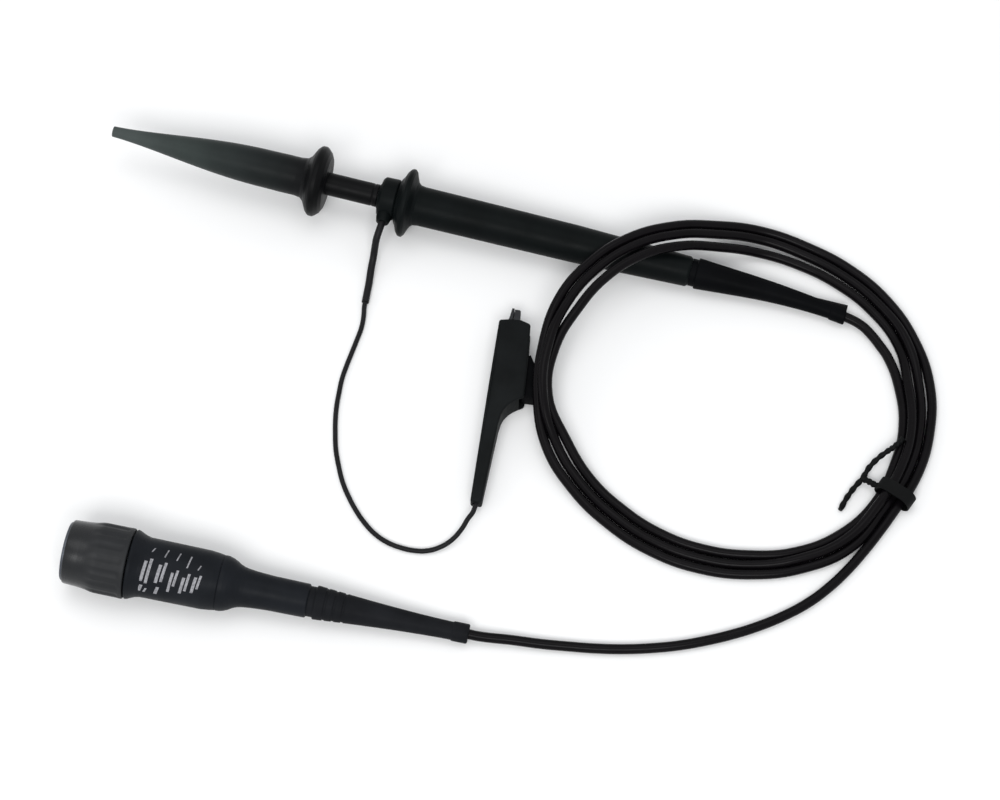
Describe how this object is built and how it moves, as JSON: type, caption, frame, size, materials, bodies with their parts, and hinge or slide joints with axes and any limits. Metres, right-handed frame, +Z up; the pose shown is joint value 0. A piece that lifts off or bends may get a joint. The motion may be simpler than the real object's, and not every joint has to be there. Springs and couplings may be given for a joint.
{
  "type": "oscilloscope probe",
  "caption": "Passive oscilloscope probe with sprung hook tip, finger guard, ground lead with alligator clip, coiled coaxial cable and BNC compensation box.",
  "frame": {"origin": "centre of the probe head's footprint on the surface that it lies on, midway between its hook tip and the end of its boot", "axes": "+X along the head from the hook tip to the cable, +Z up, +Y to the side away from the ground lead. The head is tilted 3.2 degrees about Y, because its guard is thicker than its boot."},
  "size_m": [0.2156, 0.1371, 0.0186],
  "materials": {
    "tip_plastic": "semi-matt dark grey-green",
    "handle_plastic": "semi-matt near-black",
    "boot_rubber": "soft black",
    "cable_jacket": "glossy black",
    "lead_jacket": "soft black",
    "clip_plastic": "smooth black",
    "box_plastic": "semi-matt blue-black",
    "grip_plastic": "semi-matt blue-black",
    "nut_metal": "black chromate",
    "contact_metal": "nickel plated",
    "spring_steel": "bright",
    "clip_steel": "black nickel",
    "brass": "gold plated",
    "white_insulator": "white PTFE",
    "board_green": "solder resist",
    "ceramic": "ceramic",
    "gasket_rubber": "silicone",
    "tie_plastic": "black paper and wire"
  },
  "bodies": {
    "probe": {"needle": "brass", "nose_insulator": "white_insulator", "tip_resistor": "ceramic", "ground_barrel": "contact_metal", "handle": "handle_plastic", "handle_crimp": "brass", "front_boot": "boot_rubber", "front_coax": "cable_jacket", "ground_ring": "brass", "ground_collar": "handle_plastic", "lead_sleeve": "lead_jacket", "ground_lead": "lead_jacket", "clip_cover": "clip_plastic", "clip_jaw_fixed": "clip_steel", "clip_pin": "clip_steel", "clip_spring": "spring_steel", "clip_crimp": "brass", "cable_lead": "cable_jacket", "cable_coil": "cable_jacket", "cable_tail": "cable_jacket", "twist_tie": "tie_plastic", "bnc_shell": "contact_metal", "bnc_insulator": "white_insulator", "bnc_pin": "brass", "bnc_gasket": "gasket_rubber", "wave_washer": "spring_steel", "box_shell": "box_plastic", "box_tail": "box_plastic", "comp_board": "board_green", "comp_resistor": "ceramic", "comp_capacitor": "ceramic", "trimmer_body": "white_insulator", "rear_crimp": "brass", "rear_boot": "boot_rubber", "rear_coax": "cable_jacket"},
    "hook_tip": {"hook_carrier": "tip_plastic", "hook_wire": "brass", "hook_socket": "brass", "hook_spring": "spring_steel"},
    "sleeve": {"hook_sleeve": "tip_plastic"},
    "thrust": {"thrust_ring": "brass"},
    "nut": {"bnc_nut": "nut_metal", "nut_grip": "grip_plastic"},
    "trimmer": {"trimmer_screw": "brass"},
    "clip_jaw": {"clip_jaw_moving": "clip_steel", "clip_lever": "clip_plastic"}
  },
  "joints": [
    {"name": "hook_tip_pull", "type": "slide", "parent": "probe", "child": "hook_tip", "axis": [-0.9984, 0, 0.0559], "range_m": [0, 0.028]},
    {"name": "hook_retract", "type": "slide", "parent": "hook_tip", "child": "sleeve", "axis": [0.9984, 0, -0.0559], "range_m": [0, 0.009], "stiffness_N_per_m": 300, "springref_m": -0.003, "deforming": ["hook_spring"]},
    {"name": "nut_float", "type": "slide", "parent": "probe", "child": "thrust", "axis": [-0.9959, -0.0522, 0.0735], "range_m": [0, 0.001], "stiffness_N_per_m": 3000, "springref_m": -0.001, "deforming": ["wave_washer"]},
    {"name": "bayonet_turn", "type": "hinge", "parent": "thrust", "child": "nut", "pos_m": [-0.06348, -0.11093, 0.0089], "axis": [-0.9959, -0.0522, 0.0735], "continuous": true},
    {"name": "trimmer_turn", "type": "hinge", "parent": "probe", "child": "trimmer", "pos_m": [-0.04356, -0.10989, 0.00743], "axis": [-0.0523, 0.9986, 0], "continuous": true},
    {"name": "clip_squeeze", "type": "hinge", "parent": "probe", "child": "clip_jaw", "pos_m": [0.01776, -0.03754, 0.00352], "axis": [0, 0, -1], "range_deg": [0, 16], "stiffness_Nm_per_rad": 0.12, "springref_deg": -28.65, "deforming": ["clip_spring"]}
  ]
}
